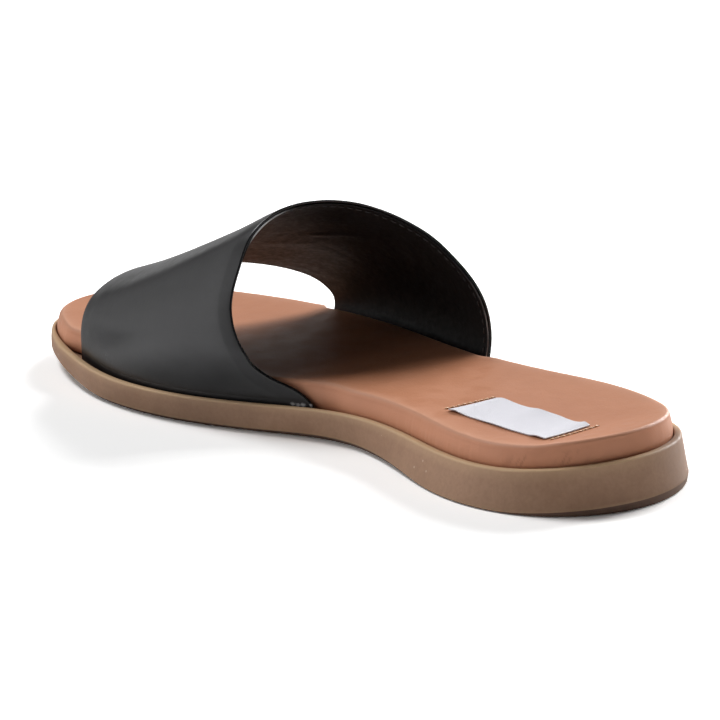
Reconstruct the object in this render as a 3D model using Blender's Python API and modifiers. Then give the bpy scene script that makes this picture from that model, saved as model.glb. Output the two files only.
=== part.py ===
"""Flat slide sandal, right shoe: moulded sole, wrapped footbed, one broad band.

Frame: metres, +Z up, toe towards -Y, heel towards +Y, inner (medial) side +X.
The origin is on the floor, under the middle of the shoe.
"""
import math
from collections import namedtuple

import bpy
import bmesh
import numpy as np

MM = 0.001

# ---------------------------------------------------------------- sizes (mm)
FOOTBED_LENGTH = 251.0        # along the shoe, heel wall to toe wall
HEEL_AT_Y = 124.37            # world Y of the back of the footbed
AXIS_X = 1.58                 # world X of the shoe's own axis
HEEL_TIP_X = 1.2              # where the outline crosses the back of the heel
TOE_TIP_X = 4.6               # where it crosses the toe, inside of centre

GAP = 0.3                     # clearance between neighbouring pieces

SOLE_EDGE_RADIUS = 1.6        # rounding where the side wall meets the tread
LIP_OUT = 2.7                 # lip's outer edge, beyond the footbed wall
LIP_IN = 0.35                 # lip's inner edge, beyond the footbed wall
LIP_RADIUS = 0.9              # rounding of the lip
RECESS_DEPTH = 2.2            # the seat of the footbed below the lip

FOOTBED_EDGE_RADIUS = 2.4     # rounding of the footbed's top edge
FOOTBED_LEAN = 0.3            # the footbed wall leans in by this much
FOOTBED_DISH_HEEL = 0.9       # hollow of the heel seat
FOOTBED_DISH_TOE = 0.5        # hollow under the toes

BAND_WALL = 2.0               # leather plus lining
BAND_TUCK = 2.4               # the footbed gives way to the band by this much
BAND_TUCK_RAMP = 6.0          # length over which it gives way
BAND_SIDE_FULL = 2.11         # superellipse power of the sides
BAND_TOP_FULL = 2.80          # superellipse power of the top
BAND_TOP_SKEW = -0.31         # the outer side is fuller than the inner side
BAND_BULGE_MEDIAL = 0.6       # swelling past the sole, inner side
BAND_BULGE_LATERAL = 3.4      # swelling past the sole, outer side
BAND_BULGE_START = 3.0        # the swelling starts just above the lip
BAND_BULGE_HEIGHT = 39.0      # the swelling fades out at this height

# Outline of the footbed wall seen from above: distance from the back of the
# heel, then the inner and the outer side of the foot.
Plan = namedtuple("Plan", "from_heel medial lateral")
PLAN = [
    Plan(8, 22.3, -19.0),
    Plan(22, 31.3, -29.0),
    Plan(45, 32.6, -34.3),
    Plan(72, 25.6, -34.2),
    Plan(100, 22.2, -35.2),
    Plan(128, 29.6, -40.2),
    Plan(158, 39.6, -44.6),
    Plan(186, 42.0, -44.2),
    Plan(212, 36.8, -38.0),
    Plan(232, 28.4, -28.4),
    Plan(246, 17.3, -15.0),
]

# Side view: height of the tread, of the lip and of the footbed's top edge, and
# how far the foot of the side wall stands out from the footbed wall.
Side = namedtuple("Side", "from_heel ground lip top medial_foot lateral_foot")
SIDE = [
    Side(0, 2.0, 14.5, 20.8, 5.2, 5.0),
    Side(25, 0.0, 11.9, 18.6, 6.1, 4.8),
    Side(50, 0.0, 11.1, 17.9, 5.9, 4.8),
    Side(75, 0.4, 10.5, 17.1, 4.8, 4.5),
    Side(110, 0.4, 9.8, 16.4, 1.9, 4.0),
    Side(135, 0.0, 9.0, 16.0, 2.5, 3.5),
    Side(165, 0.0, 8.6, 15.6, 2.7, 3.0),
    Side(195, 0.0, 8.9, 15.1, 2.4, 2.6),
    Side(218, 2.1, 10.2, 15.5, 2.1, 2.1),
    Side(251, 4.9, 11.0, 15.8, 2.1, 2.1),
]

# The arch of the band at a station: rise of the crest over the seat, and how
# much the crest leans to the inner side.
Arch = namedtuple("Arch", "from_heel rise lean")
ARCH = [
    Arch(98, 80.7, 0.174),
    Arch(120, 67.9, 0.186),
    Arch(140, 57.1, 0.198),
    Arch(163, 45.6, 0.211),
    Arch(185, 35.7, 0.224),
    Arch(213, 24.4, 0.240),
]

# The cut of the band: share of the way over the foot, from the inner base to
# the outer base, then the stations of the front and of the rear edge.
Cut = namedtuple("Cut", "over front rear")
CUT = [
    Cut(0.00, 210.8, 112.8),
    Cut(0.04, 211.1, 133.3),
    Cut(0.10, 211.6, 140.8),
    Cut(0.20, 212.2, 142.3),
    Cut(0.32, 210.3, 142.8),
    Cut(0.45, 204.6, 140.7),
    Cut(0.57, 198.6, 135.8),
    Cut(0.70, 191.3, 127.2),
    Cut(0.83, 184.6, 113.6),
    Cut(0.92, 182.0, 103.7),
    Cut(1.00, 181.6, 100.3),
]

# Mesh steps
SIDE_STEPS = 50               # points along each side of the outline
RUNGS = 6                     # steps across the sole and the footbed
BAND_OVER_STEPS = 52          # steps over the foot
BAND_ALONG_STEPS = 14         # steps from the front edge to the rear edge

Finish = namedtuple("Finish", "colour roughness")
FINISH = {
    "outsole": Finish((0.27, 0.18, 0.13), 0.55),
    "footbed": Finish((0.60, 0.29, 0.18), 0.60),
    "upper_band": Finish((0.022, 0.021, 0.022), 0.42),
}


# ------------------------------------------------------------------- curves
def smooth(x, xs, ys):
    """A smooth curve through the rows of a table."""
    xs, ys = np.asarray(xs, float), np.asarray(ys, float)
    step = np.diff(xs)
    rate = np.diff(ys) / step
    slope = np.empty_like(xs)
    slope[0], slope[-1] = rate[0], rate[-1]
    slope[1:-1] = (rate[:-1] * step[1:] + rate[1:] * step[:-1]) / (step[:-1] + step[1:])
    x = np.clip(x, xs[0], xs[-1])
    i = np.clip(np.searchsorted(xs, x) - 1, 0, len(xs) - 2)
    t = (x - xs[i]) / step[i]
    return ((2 * t**3 - 3 * t**2 + 1) * ys[i] + (t**3 - 2 * t**2 + t) * step[i] * slope[i]
            + (3 * t**2 - 2 * t**3) * ys[i + 1] + (t**3 - t**2) * step[i] * slope[i + 1])


def column(table, name):
    return [getattr(row, name) for row in table]


def read(table, name, x):
    return smooth(x, [row[0] for row in table], column(table, name))


def closed_curve(points, per_span=60):
    """A closed cubic spline through the points, sampled densely."""
    p = np.asarray(points, float)
    n = len(p)
    d = np.linalg.norm(np.roll(p, -1, axis=0) - p, axis=1)
    a, b = np.zeros((n, n)), np.zeros((n, 2))
    for i in range(n):
        before, after, k = d[i - 1], d[i], (i + 1) % n
        a[i, i - 1] += after
        a[i, i] += 2 * (before + after)
        a[i, k] += before
        b[i] = 3 * (after * (p[i] - p[i - 1]) / before + before * (p[k] - p[i]) / after)
    m = np.linalg.solve(a, b)
    t = np.linspace(0, 1, per_span, endpoint=False)[:, None]
    out = []
    for i in range(n):
        k = (i + 1) % n
        out.append((2 * t**3 - 3 * t**2 + 1) * p[i] + (t**3 - 2 * t**2 + t) * d[i] * m[i]
                   + (3 * t**2 - 2 * t**3) * p[k] + (t**3 - t**2) * d[i] * m[k])
    return np.vstack(out)


def outline_sides():
    """The outline's two sides, heel to toe, as rows of (x, from_heel)."""
    points = [(HEEL_TIP_X, 0.0)]
    points += [(row.medial, row.from_heel) for row in PLAN]
    points += [(TOE_TIP_X, FOOTBED_LENGTH)]
    points += [(row.lateral, row.from_heel) for row in reversed(PLAN)]
    ring = closed_curve(points) + np.array([AXIS_X, 0.0])
    ring = np.roll(ring, -ring[:, 1].argmin(), axis=0)
    tip = ring[:, 1].argmax()
    return ring[:tip + 1], np.vstack([ring[tip:], ring[:1]])[::-1]


MEDIAL, LATERAL = outline_sides()


def medial_x(u):
    return np.interp(u, MEDIAL[:, 1], MEDIAL[:, 0])


def lateral_x(u):
    return np.interp(u, LATERAL[:, 1], LATERAL[:, 0])


def even_steps(side, steps):
    run = np.r_[0, np.cumsum(np.linalg.norm(np.diff(side, axis=0), axis=1))]
    at = np.linspace(0, run[-1], steps + 1)
    return np.stack([np.interp(at, run, side[:, 0]), np.interp(at, run, side[:, 1])], 1)


class Outline:
    """Closed ring of outline points with outward directions; the first half
    runs up the inner side from heel to toe, the rest comes back outside."""

    def __init__(self, steps):
        self.steps = steps
        inner, outer = even_steps(MEDIAL, steps), even_steps(LATERAL, steps)
        ring = np.vstack([inner, outer[-2:0:-1]])
        along = np.roll(ring, -1, axis=0) - np.roll(ring, 1, axis=0)
        along /= np.linalg.norm(along, axis=1)[:, None]
        self.x, self.u = ring[:, 0], ring[:, 1]
        # the ring turns from the heel up the inner side, so outward is here
        self.nx, self.nu = along[:, 1], -along[:, 0]
        self.inner_share = np.clip(0.5 + self.nx, 0, 1)

    def ring(self, offset, z):
        x = self.x + self.nx * offset
        y = HEEL_AT_Y - (self.u + self.nu * offset)
        return np.stack([x, y, np.broadcast_to(z, x.shape)], 1)


def band_tuck(u, inner_share):
    """How far the footbed wall steps back to make room for the band."""
    def window(first, last):
        rise = np.clip((u - first + BAND_TUCK_RAMP) / BAND_TUCK_RAMP, 0, 1)
        fall = np.clip((last + BAND_TUCK_RAMP - u) / BAND_TUCK_RAMP, 0, 1)
        both = np.minimum(rise, fall)
        return both * both * (3 - 2 * both)
    inner = window(CUT[0].rear - 1, CUT[0].front + 2)
    outer = window(CUT[-1].rear - 1, CUT[-1].front + 2)
    return BAND_TUCK * np.where(inner_share > 0.5, inner, outer)


def band_point(over, u):
    """A point of the band's outer face: share over the foot, station."""
    angle = math.pi * over
    c, s = np.cos(angle), np.clip(np.sin(angle), 0, 1)
    inner, outer = medial_x(u), lateral_x(u)
    middle, half = (inner + outer) / 2, (inner - outer) / 2
    seat = read(SIDE, "lip", u) - RECESS_DEPTH + GAP
    top_power = BAND_TOP_FULL + BAND_TOP_SKEW * c
    x = middle + half * np.sign(c) * np.abs(c) ** (2 / BAND_SIDE_FULL)
    rise = read(ARCH, "rise", u) * s ** (2 / top_power) * (1 + read(ARCH, "lean", u) * c)
    h = np.clip((rise - BAND_BULGE_START) / BAND_BULGE_HEIGHT, 0, 1)
    swell = 6.75 * h * (1 - h) ** 2
    x = x + np.where(c > 0, BAND_BULGE_MEDIAL, -BAND_BULGE_LATERAL) * swell
    return np.stack([x, HEEL_AT_Y - u, seat + rise], -1)


def band_rows(steps):
    """Shares over the foot, spaced evenly along the arch and closer near the
    two bases: the rear edge sweeps out into its tail at the inner one."""
    fine = np.linspace(0, 1, 2001)
    u = (smooth(fine, column(CUT, "over"), column(CUT, "front"))
         + smooth(fine, column(CUT, "over"), column(CUT, "rear"))) / 2
    arch = band_point(fine, u)[:, [0, 2]]
    run = np.r_[0, np.cumsum(np.linalg.norm(np.diff(arch, axis=0), axis=1))]
    weight = run + 26 * (1 - np.exp(-run / 14)) + 16 * np.exp((run - run[-1]) / 8)
    return np.interp(np.linspace(0, weight[-1], steps + 1), weight, fine)


# ------------------------------------------------------------------- meshes
class Skin:
    """Gathers lofted rings and cross-ladders into one mesh."""

    def __init__(self):
        self.bm = bmesh.new()

    def ring(self, points):
        return [self.bm.verts.new([c * MM for c in p]) for p in points]

    def between(self, a, b, closed=True):
        n = len(a)
        for i in range(n if closed else n - 1):
            k = (i + 1) % n
            self.bm.faces.new((a[i], a[k], b[k], b[i]))

    def ladder(self, ring, rungs, sag=None):
        """Close a ring with rows of faces from its inner to its outer side."""
        half = len(ring) // 2
        rows = []
        for i in range(1, half):
            a, b = ring[i], ring[-i]
            row = [a]
            for j in range(1, rungs):
                w = j / rungs
                p = a.co.lerp(b.co, w)
                if sag is not None:
                    p.z -= sag(p.y / MM, w) * MM
                row.append(self.bm.verts.new(p))
            rows.append(row + [b])
        for j in range(rungs):
            self.bm.faces.new((ring[0], rows[0][j], rows[0][j + 1]))
            self.bm.faces.new((ring[half], rows[-1][j + 1], rows[-1][j]))
        for low, high in zip(rows, rows[1:]):
            for j in range(rungs):
                self.bm.faces.new((low[j], high[j], high[j + 1], low[j + 1]))

    def finish(self, name, collection, parent):
        bmesh.ops.recalc_face_normals(self.bm, faces=self.bm.faces)
        mesh = bpy.data.meshes.new(name)
        self.bm.to_mesh(mesh)
        self.bm.free()
        mesh.shade_smooth()
        mesh.set_sharp_from_angle(angle=math.radians(50))
        mesh.materials.append(finish_material(name))
        obj = bpy.data.objects.new(name, mesh)
        obj.parent = parent
        collection.objects.link(obj)
        return obj


def finish_material(name):
    material = bpy.data.materials.new(name)
    material.use_nodes = True
    shader = material.node_tree.nodes["Principled BSDF"]
    shader.inputs["Base Color"].default_value = (*FINISH[name].colour, 1.0)
    shader.inputs["Roughness"].default_value = FINISH[name].roughness
    shader.inputs["Metallic"].default_value = 0.0
    return material


def make_outsole(collection, parent):
    line = Outline(SIDE_STEPS)
    ground = np.maximum(read(SIDE, "ground", line.u), 0)
    lip = read(SIDE, "lip", line.u)
    foot = (read(SIDE, "medial_foot", line.u) * line.inner_share
            + read(SIDE, "lateral_foot", line.u) * (1 - line.inner_share))
    skin = Skin()
    rings = []
    for turn in (90, 50, 0):                     # round the lower edge
        a = math.radians(turn)
        rings.append(line.ring(foot - SOLE_EDGE_RADIUS * (1 - math.cos(a)),
                               ground + SOLE_EDGE_RADIUS * (1 - math.sin(a))))
    low, high = ground + SOLE_EDGE_RADIUS, lip - LIP_RADIUS
    for share in (0.5, 1.0):                     # up the side wall
        rings.append(line.ring(foot + (LIP_OUT - foot) * share, low + (high - low) * share))
    for turn in (45, 90):                        # over the lip
        a = math.radians(turn)
        rings.append(line.ring(LIP_OUT - LIP_RADIUS * (1 - math.cos(a)),
                               high + LIP_RADIUS * math.sin(a)))
    rings.append(line.ring(LIP_IN + 0.25, lip))
    rings.append(line.ring(LIP_IN, lip - 0.25))
    rings.append(line.ring(LIP_IN, lip - RECESS_DEPTH))
    loops = [skin.ring(points) for points in rings]
    for a, b in zip(loops, loops[1:]):
        skin.between(a, b)
    skin.ladder(loops[0], RUNGS)                 # tread
    skin.ladder(loops[-1], RUNGS)                # seat of the footbed
    return skin.finish("outsole", collection, parent)


def make_footbed(collection, parent):
    line = Outline(SIDE_STEPS)
    seat = read(SIDE, "lip", line.u) - RECESS_DEPTH + GAP
    top = read(SIDE, "top", line.u)
    wall = -band_tuck(line.u, line.inner_share)
    skin = Skin()
    rings = [line.ring(wall - 1.0, seat), line.ring(wall, seat + 1.0)]
    for turn in (0, 30, 60, 90):                 # round the top edge
        a = math.radians(turn)
        rings.append(line.ring(wall - FOOTBED_LEAN - FOOTBED_EDGE_RADIUS * (1 - math.cos(a)),
                               top - FOOTBED_EDGE_RADIUS * (1 - math.sin(a))))
    loops = [skin.ring(points) for points in rings]
    for a, b in zip(loops, loops[1:]):
        skin.between(a, b)

    def sag(y, w):
        share = np.clip((HEEL_AT_Y - y) / FOOTBED_LENGTH, 0, 1)
        depth = FOOTBED_DISH_HEEL + (FOOTBED_DISH_TOE - FOOTBED_DISH_HEEL) * share
        ends = min(1.0, share / 0.08, (1 - share) / 0.08)
        return depth * ends * 4 * w * (1 - w)

    skin.ladder(loops[0], RUNGS)
    skin.ladder(loops[-1], RUNGS, sag)
    return skin.finish("footbed", collection, parent)


def make_band(collection, parent):
    over = band_rows(BAND_OVER_STEPS)
    front = smooth(over, column(CUT, "over"), column(CUT, "front"))
    rear = smooth(over, column(CUT, "over"), column(CUT, "rear"))
    skin = Skin()
    rows = []
    for share in np.linspace(0, 1, BAND_ALONG_STEPS + 1):
        rows.append(skin.ring(band_point(over, front + (rear - front) * share)))
    for a, b in zip(rows, rows[1:]):
        skin.between(a, b, closed=False)
    band = skin.finish("upper_band", collection, parent)
    if sum(face.normal.z for face in band.data.polygons) < 0:
        band.data.flip_normals()
    wall = band.modifiers.new("wall", "SOLIDIFY")
    wall.thickness = BAND_WALL * MM
    wall.offset = -1.0
    wall.use_even_offset = True
    wall.use_rim = True
    return band


def main():
    for obj in list(bpy.data.objects):
        bpy.data.objects.remove(obj, do_unlink=True)
    collection = bpy.data.collections.new("slide_sandal")
    bpy.context.scene.collection.children.link(collection)
    root = bpy.data.objects.new("slide_sandal", None)
    collection.objects.link(root)
    make_outsole(collection, root)
    make_footbed(collection, root)
    make_band(collection, root)


main()
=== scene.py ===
"""Looks of the slide sandal: sole, padded footbed, leather band with its lining,
stitches and the woven label, on a pale floor under soft studio light."""
import math
from collections import namedtuple

import bpy
import bmesh
import numpy as np
from mathutils import Matrix, Vector
from mathutils.bvhtree import BVHTree
from mathutils.kdtree import KDTree


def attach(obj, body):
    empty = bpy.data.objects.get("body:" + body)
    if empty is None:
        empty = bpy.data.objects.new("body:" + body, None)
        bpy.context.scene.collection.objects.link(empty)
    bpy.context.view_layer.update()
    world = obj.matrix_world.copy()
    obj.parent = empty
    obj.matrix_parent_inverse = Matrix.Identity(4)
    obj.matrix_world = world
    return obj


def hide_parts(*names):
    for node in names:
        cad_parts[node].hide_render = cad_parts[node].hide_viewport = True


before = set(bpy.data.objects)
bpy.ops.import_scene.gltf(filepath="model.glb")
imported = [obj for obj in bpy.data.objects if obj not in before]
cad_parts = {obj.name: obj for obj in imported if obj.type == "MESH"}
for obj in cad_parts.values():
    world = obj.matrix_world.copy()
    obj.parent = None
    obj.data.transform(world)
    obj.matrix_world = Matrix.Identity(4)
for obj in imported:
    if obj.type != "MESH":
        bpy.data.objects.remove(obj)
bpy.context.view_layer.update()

MM = 0.001

# ------------------------------------------------------- the shoe's sizes (mm)
FOOTBED_LENGTH = 251.0
HEEL_AT_Y = 124.37
AXIS_X = 1.58
HEEL_TIP_X = 1.2
TOE_TIP_X = 4.6
GAP = 0.3
LIP_OUT = 2.7
LIP_IN = 0.35
LIP_RADIUS = 0.7
RECESS_DEPTH = 2.2
FOOTBED_EDGE_RADIUS = 1.5
FOOTBED_LEAN = 0.8
FOOTBED_DISH_HEEL = 0.9
FOOTBED_DISH_TOE = 0.5
BAND_TUCK = 2.0
BAND_TUCK_RAMP = 6.0
BAND_SIDE_FULL = 2.11
BAND_TOP_FULL = 2.80
BAND_TOP_SKEW = -0.31
BAND_BULGE_MEDIAL = 0.6
BAND_BULGE_LATERAL = 3.4
BAND_BULGE_START = 3.0
BAND_BULGE_HEIGHT = 39.0
BAND_DRAWN_IN = 1.05          # the leather is drawn in where it is tucked

Plan = namedtuple("Plan", "from_heel medial lateral")
PLAN = [
    Plan(8, 22.3, -19.0),
    Plan(22, 31.3, -29.0),
    Plan(45, 32.6, -34.3),
    Plan(72, 25.6, -34.2),
    Plan(100, 22.2, -35.2),
    Plan(128, 29.6, -40.2),
    Plan(158, 39.6, -44.6),
    Plan(186, 42.0, -44.2),
    Plan(212, 36.8, -38.0),
    Plan(232, 28.4, -28.4),
    Plan(246, 17.3, -15.0),
]
Side = namedtuple("Side", "from_heel ground lip top medial_foot lateral_foot")
SIDE = [
    Side(0, 2.0, 14.5, 20.8, 5.2, 5.0),
    Side(25, 0.0, 11.9, 18.6, 6.1, 4.8),
    Side(50, 0.0, 11.1, 17.9, 5.9, 4.8),
    Side(75, 0.4, 10.5, 17.1, 4.8, 4.5),
    Side(110, 0.4, 9.8, 16.4, 1.9, 4.0),
    Side(135, 0.0, 9.0, 16.0, 2.5, 3.5),
    Side(165, 0.0, 8.6, 15.6, 2.7, 3.0),
    Side(195, 0.0, 8.9, 15.1, 2.4, 2.6),
    Side(218, 2.1, 10.2, 15.5, 2.1, 2.1),
    Side(251, 4.9, 11.0, 15.8, 2.1, 2.1),
]
Arch = namedtuple("Arch", "from_heel rise lean")
ARCH = [
    Arch(98, 80.7, 0.174),
    Arch(120, 67.9, 0.186),
    Arch(140, 57.1, 0.198),
    Arch(163, 45.6, 0.211),
    Arch(185, 35.7, 0.224),
    Arch(213, 24.4, 0.240),
]
Cut = namedtuple("Cut", "over front rear")
CUT = [
    Cut(0.000, 212.0, 114.0),
    Cut(0.012, 212.0, 119.6),
    Cut(0.024, 212.0, 127.9),
    Cut(0.034, 212.0, 132.1),
    Cut(0.056, 212.1, 136.2),
    Cut(0.080, 212.2, 139.2),
    Cut(0.106, 212.3, 141.1),
    Cut(0.20, 212.4, 142.3),
    Cut(0.32, 210.3, 142.8),
    Cut(0.45, 204.6, 140.7),
    Cut(0.57, 198.6, 135.8),
    Cut(0.70, 191.3, 127.2),
    Cut(0.83, 184.6, 113.6),
    Cut(0.92, 182.0, 103.7),
    Cut(1.00, 181.6, 100.3),
]

# ------------------------------------------------------ sizes of the fine parts
LEATHER = 0.80                # thickness of the band's outer leather
LINING = 0.55                 # thickness of its lining
PLY_GAP = 0.06                # between the two, at the open edge
LINING_INSET = 0.45           # the lining stops short of the leather's edge
HEM_WIDTH = 4.6               # the turned edge slopes down over this width
HEM_HIGH = 0.34               # how proud its ridge stands on the inner side
HEM_HIGH_TOP = 0.16           # over the crest and on the outer side
HEM_HIGH_FRONT = 0.0
STITCH_INSET = 2.3            # lining seam, from the edge
STITCH_PITCH = 2.9
STITCH_LENGTH = 2.1
STITCH_WIDTH = 0.42
RIB_PITCH = 3.7               # fine tread
RIB_DEPTH = 0.55
LABEL_WIDTH = 18.5
LABEL_LENGTH = 42.7
LABEL_THICK = 0.30


# ------------------------------------------------------------------- curves
def smooth(x, xs, ys):
    xs, ys = np.asarray(xs, float), np.asarray(ys, float)
    step = np.diff(xs)
    rate = np.diff(ys) / step
    slope = np.empty_like(xs)
    slope[0], slope[-1] = rate[0], rate[-1]
    slope[1:-1] = (rate[:-1] * step[1:] + rate[1:] * step[:-1]) / (step[:-1] + step[1:])
    x = np.clip(x, xs[0], xs[-1])
    i = np.clip(np.searchsorted(xs, x) - 1, 0, len(xs) - 2)
    t = (x - xs[i]) / step[i]
    return ((2 * t**3 - 3 * t**2 + 1) * ys[i] + (t**3 - 2 * t**2 + t) * step[i] * slope[i]
            + (3 * t**2 - 2 * t**3) * ys[i + 1] + (t**3 - t**2) * step[i] * slope[i + 1])


def column(table, name):
    return [getattr(row, name) for row in table]


def read(table, name, x):
    return smooth(x, [row[0] for row in table], column(table, name))


def ease(x, a, b):
    """0 at a, 1 at b, smooth between."""
    t = np.clip((x - a) / (b - a), 0, 1)
    return t * t * (3 - 2 * t)


def closed_curve(points, per_span=160):
    p = np.asarray(points, float)
    n = len(p)
    d = np.linalg.norm(np.roll(p, -1, axis=0) - p, axis=1)
    a, b = np.zeros((n, n)), np.zeros((n, 2))
    for i in range(n):
        before, after, k = d[i - 1], d[i], (i + 1) % n
        a[i, i - 1] += after
        a[i, i] += 2 * (before + after)
        a[i, k] += before
        b[i] = 3 * (after * (p[i] - p[i - 1]) / before + before * (p[k] - p[i]) / after)
    m = np.linalg.solve(a, b)
    t = np.linspace(0, 1, per_span, endpoint=False)[:, None]
    out = []
    for i in range(n):
        k = (i + 1) % n
        out.append((2 * t**3 - 3 * t**2 + 1) * p[i] + (t**3 - 2 * t**2 + t) * d[i] * m[i]
                   + (3 * t**2 - 2 * t**3) * p[k] + (t**3 - t**2) * d[i] * m[k])
    return np.vstack(out)


def outline_sides():
    points = [(HEEL_TIP_X, 0.0)]
    points += [(row.medial, row.from_heel) for row in PLAN]
    points += [(TOE_TIP_X, FOOTBED_LENGTH)]
    points += [(row.lateral, row.from_heel) for row in reversed(PLAN)]
    ring = closed_curve(points) + np.array([AXIS_X, 0.0])
    ring = np.roll(ring, -ring[:, 1].argmin(), axis=0)
    tip = ring[:, 1].argmax()
    return ring[:tip + 1], np.vstack([ring[tip:], ring[:1]])[::-1]


MEDIAL, LATERAL = outline_sides()


def medial_x(u):
    return np.interp(u, MEDIAL[:, 1], MEDIAL[:, 0])


def lateral_x(u):
    return np.interp(u, LATERAL[:, 1], LATERAL[:, 0])


def even_steps(side, steps):
    run = np.r_[0, np.cumsum(np.linalg.norm(np.diff(side, axis=0), axis=1))]
    at = np.linspace(0, run[-1], steps + 1)
    return np.stack([np.interp(at, run, side[:, 0]), np.interp(at, run, side[:, 1])], 1)


class Outline:
    def __init__(self, steps):
        self.steps = steps
        inner, outer = even_steps(MEDIAL, steps), even_steps(LATERAL, steps)
        ring = np.vstack([inner, outer[-2:0:-1]])
        along = np.roll(ring, -3, axis=0) - np.roll(ring, 3, axis=0)
        along /= np.linalg.norm(along, axis=1)[:, None]
        self.x, self.u = ring[:, 0], ring[:, 1]
        self.nx, self.nu = along[:, 1], -along[:, 0]
        self.inner_share = np.clip(0.5 + self.nx, 0, 1)
        gap = np.linalg.norm(np.roll(ring, -1, axis=0) - ring, axis=1)
        self.run = np.r_[0, np.cumsum(gap)[:-1]]

    def ring(self, offset, z):
        x = self.x + self.nx * offset
        y = HEEL_AT_Y - (self.u + self.nu * offset)
        return np.stack([x, y, np.broadcast_to(z, x.shape)], 1)


def band_tuck(u, inner_share):
    def window(first, last, ramp=BAND_TUCK_RAMP, start=BAND_TUCK_RAMP):
        rise = np.clip((u - first + start) / start, 0, 1)
        fall = np.clip((last + ramp - u) / ramp, 0, 1)
        both = np.minimum(rise, fall)
        return both * both * (3 - 2 * both)
    inner = window(CUT[0].rear - 1, CUT[0].front + 2, ramp=12.0, start=14.0)
    outer = window(CUT[-1].rear - 1, CUT[-1].front - 0.9, 3.2)
    return BAND_TUCK * np.where(inner_share > 0.5, inner, outer)


def band_point(over, u):
    angle = math.pi * over
    c, s = np.cos(angle), np.clip(np.sin(angle), 0, 1)
    inner, outer = medial_x(u), lateral_x(u)
    middle, half = (inner + outer) / 2, (inner - outer) / 2
    seat = read(SIDE, "lip", u) - RECESS_DEPTH + GAP
    top_power = BAND_TOP_FULL + BAND_TOP_SKEW * c
    x = middle + half * np.sign(c) * np.abs(c) ** (2 / BAND_SIDE_FULL)
    rise = read(ARCH, "rise", u) * s ** (2 / top_power) * (1 + read(ARCH, "lean", u) * c)
    h = np.clip((rise - BAND_BULGE_START) / BAND_BULGE_HEIGHT, 0, 1)
    swell = 6.75 * h * (1 - h) ** 2
    x = x + np.where(c > 0, BAND_BULGE_MEDIAL, -BAND_BULGE_LATERAL) * swell
    return np.stack([x, HEEL_AT_Y - u, seat + rise], -1)


def band_rows(steps):
    fine = np.linspace(0, 1, 4001)
    u = (smooth(fine, column(CUT, "over"), column(CUT, "front"))
         + smooth(fine, column(CUT, "over"), column(CUT, "rear"))) / 2
    arch = band_point(fine, u)[:, [0, 2]]
    run = np.r_[0, np.cumsum(np.linalg.norm(np.diff(arch, axis=0), axis=1))]
    weight = run + 22 * (1 - np.exp(-run / 12)) + 9 * np.exp((run - run[-1]) / 8)
    return np.interp(np.linspace(0, weight[-1], steps + 1), weight, fine)


# -------------------------------------------------------------------- noise
def lattice(ix, iy, iz, seed):
    h = (ix * 73856093) ^ (iy * 19349663) ^ (iz * 83492791) ^ (seed * 2654435761)
    h &= 0xFFFFFFFF
    h = ((h ^ (h >> 13)) * 1274126177) & 0xFFFFFFFF
    h = ((h ^ (h >> 16)) * 2246822519) & 0xFFFFFFFF
    h ^= h >> 13
    return h / 0xFFFFFFFF * 2 - 1


def value_noise(p, seed):
    p = np.asarray(p, float)
    base = np.floor(p).astype(np.int64)
    f = p - base
    f = f * f * f * (f * (f * 6 - 15) + 10)
    out = 0.0
    for dx in (0, 1):
        for dy in (0, 1):
            for dz in (0, 1):
                w = (np.where(dx, f[..., 0], 1 - f[..., 0])
                     * np.where(dy, f[..., 1], 1 - f[..., 1])
                     * np.where(dz, f[..., 2], 1 - f[..., 2]))
                out = out + w * lattice(base[..., 0] + dx, base[..., 1] + dy,
                                        base[..., 2] + dz, seed)
    return out


def lumps(p, size, seed, octaves=2):
    """Soft random relief, -1 to 1, with features about `size` mm across."""
    total, gain, weight = 0.0, 1.0, 0.0
    for k in range(octaves):
        total = total + gain * value_noise(p / size * 2**k + 17.3 * k, seed + k)
        weight += gain
        gain *= 0.5
    return total / weight


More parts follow.
